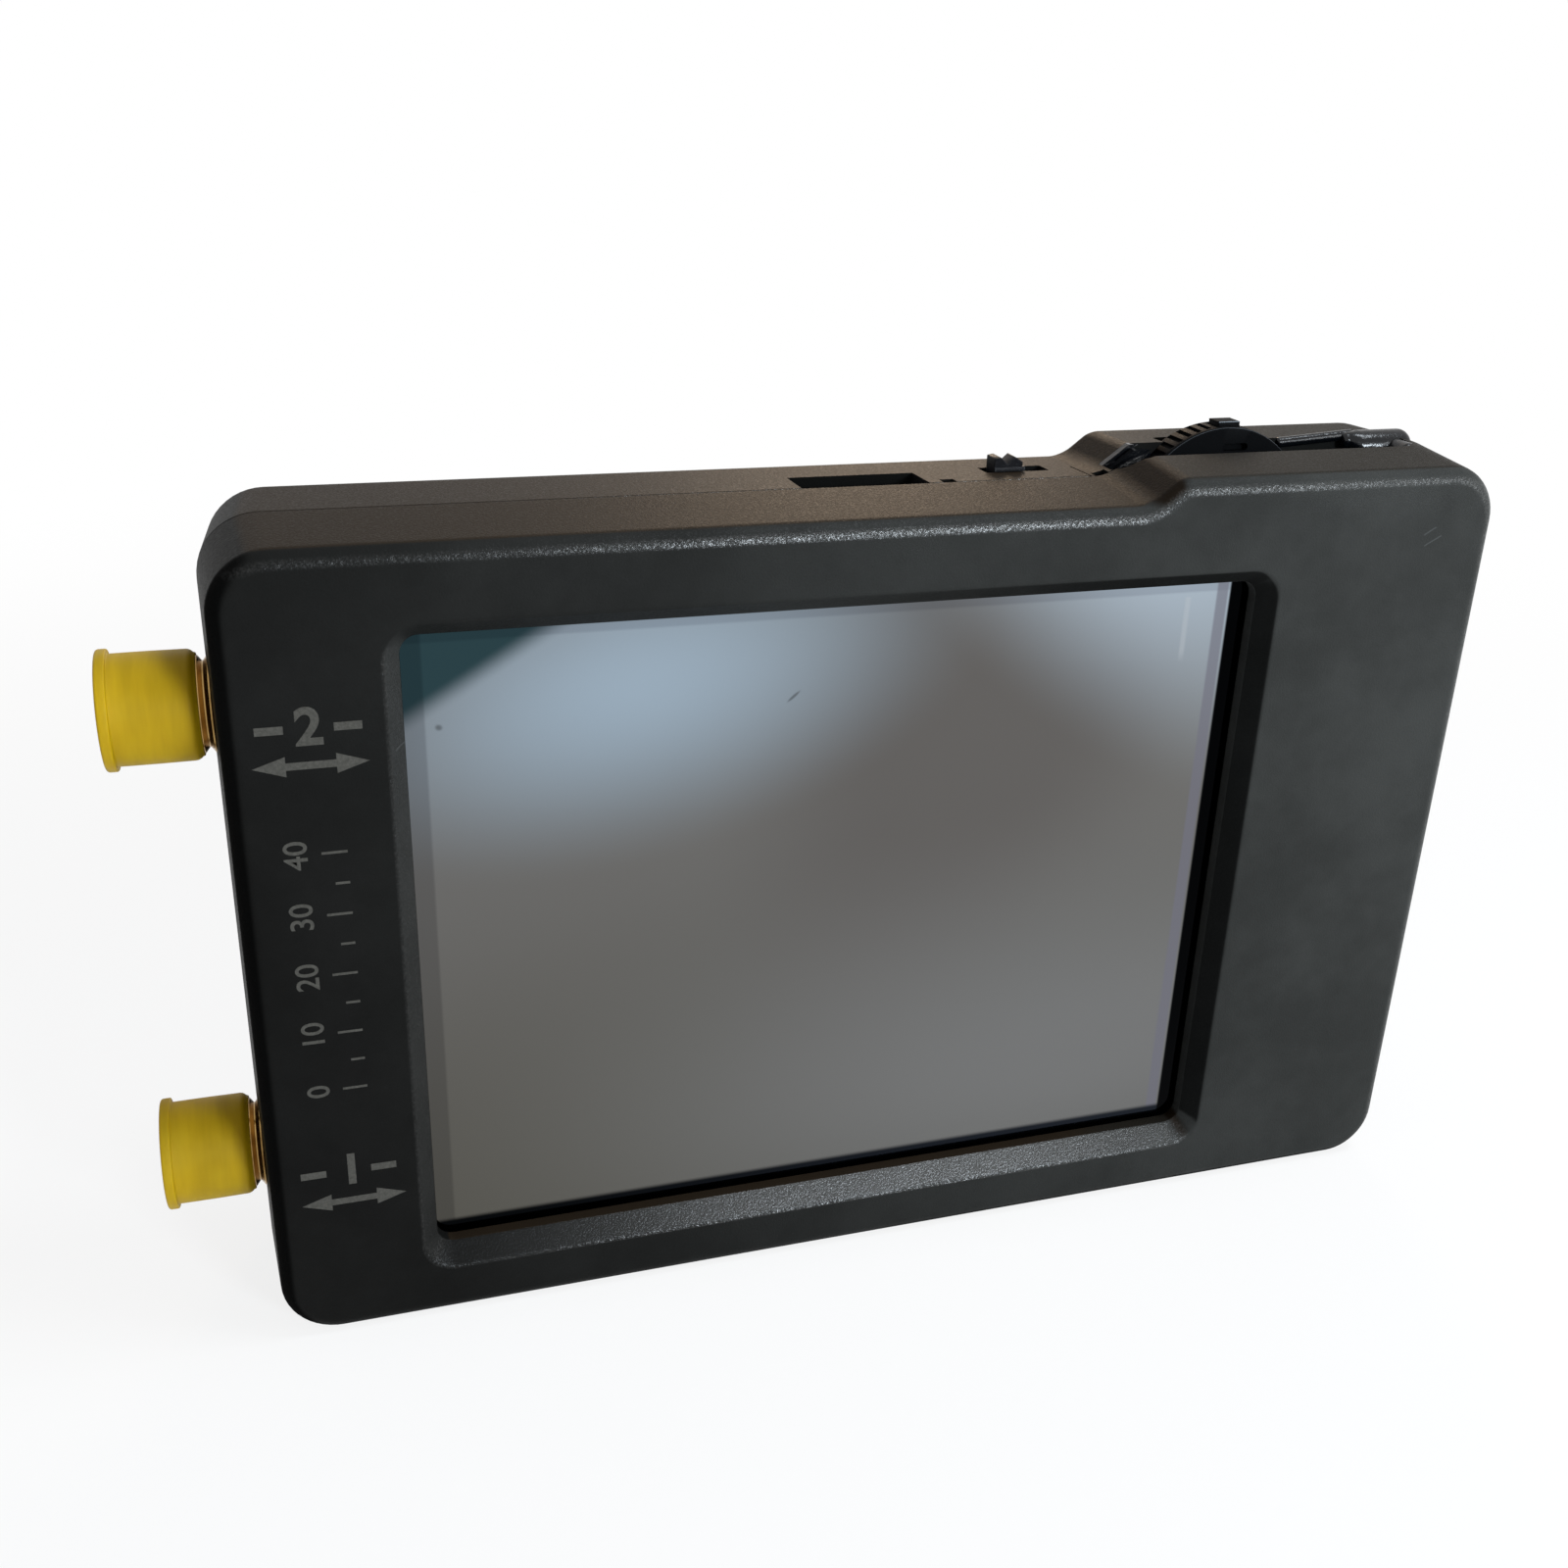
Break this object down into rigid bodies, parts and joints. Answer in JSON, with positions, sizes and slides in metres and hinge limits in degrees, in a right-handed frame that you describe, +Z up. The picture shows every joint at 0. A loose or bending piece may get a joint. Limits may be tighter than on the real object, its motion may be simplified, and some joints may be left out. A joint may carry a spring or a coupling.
{
  "type": "handheld spectrum analyzer",
  "caption": "Slim handheld spectrum analyzer: black two-shell case, recessed touch display, capped coaxial ports on one side, charging socket, slide switch and jog wheel on top.",
  "frame": {"origin": "middle of the underside of the whole object, dust caps included, with the case standing upright on its lower edge", "axes": "+X to the right as the display is read, away from the coaxial ports; -Y is the side the display faces; +Z up towards the jog wheel"},
  "size_m": [0.0976, 0.0162, 0.0619],
  "materials": {
    "shell": "fine spark-textured moulding",
    "rim": "polished",
    "touch_panel": "clear, glossy",
    "tape_black": "matt tape",
    "display": "dark glass in a steel frame",
    "tape_pale": "matt tape",
    "flex": "satin film",
    "board": "satin solder mask",
    "tin": "tinned sheet",
    "chip": "matt",
    "ceramic": "matt",
    "steel": "satin",
    "knob": "satin",
    "jog_frame": "satin",
    "jog_carrier": "satin",
    "wheel": "satin face with a knurled rim",
    "gold": "gold-plated",
    "insulator": "waxy",
    "cap": "soft satin",
    "foil": "laminated foil",
    "foam": "foam",
    "lead": "satin",
    "nylon": "satin",
    "screw": "black"
  },
  "bodies": {
    "case": {"front_shell": "shell", "back_shell": "shell", "channel_rim": "rim", "touch_panel": "touch_panel", "touch_tape": "tape_black", "display_module": "display", "display_tape": "tape_pale", "display_flex": "flex", "main_board": "board", "rf_shield_high": "tin", "rf_shield_low": "tin", "processor": "chip", "signal_chips": "chip", "crystals": "tin", "small_parts": "ceramic", "usb_shell": "steel", "usb_tongue": "chip", "switch_body": "steel", "jog_body": "jog_frame", "jog_spring": "steel", "port_high_body": "gold", "port_high_insulator": "insulator", "port_high_contact": "gold", "port_low_body": "gold", "port_low_insulator": "insulator", "port_low_contact": "gold", "battery": "foil", "battery_pad": "foam", "battery_leads": "lead", "battery_plug": "nylon", "battery_socket": "nylon", "case_screws": "screw"},
    "jog_slide": {"jog_carrier": "jog_carrier", "jog_axle": "steel"},
    "jog_disc": {"jog_wheel": "wheel"},
    "power_knob": {"switch_knob": "knob"},
    "cap_high": {"dust_cap_high": "cap"},
    "cap_low": {"dust_cap_low": "cap"}
  },
  "joints": [
    {"name": "jog_press", "type": "slide", "parent": "case", "child": "jog_slide", "axis": [0, 0, -1], "range_m": [0, 0.0005], "stiffness_N_per_m": 2000, "deforming": ["jog_spring"]},
    {"name": "jog_turn", "type": "hinge", "parent": "jog_slide", "child": "jog_disc", "pos_m": [0.0303, 0.0016, 0.0541], "axis": [0, 1, 0], "range_deg": [-15, 15], "stiffness_Nm_per_rad": 0.02},
    {"name": "power_slide", "type": "slide", "parent": "case", "child": "power_knob", "axis": [1, 0, 0], "range_m": [0, 0.0019]},
    {"name": "cap_high_off", "type": "slide", "parent": "case", "child": "cap_high", "axis": [-1, 0, 0], "range_m": [0, 0.008]},
    {"name": "cap_low_off", "type": "slide", "parent": "case", "child": "cap_low", "axis": [-1, 0, 0], "range_m": [0, 0.008]}
  ]
}
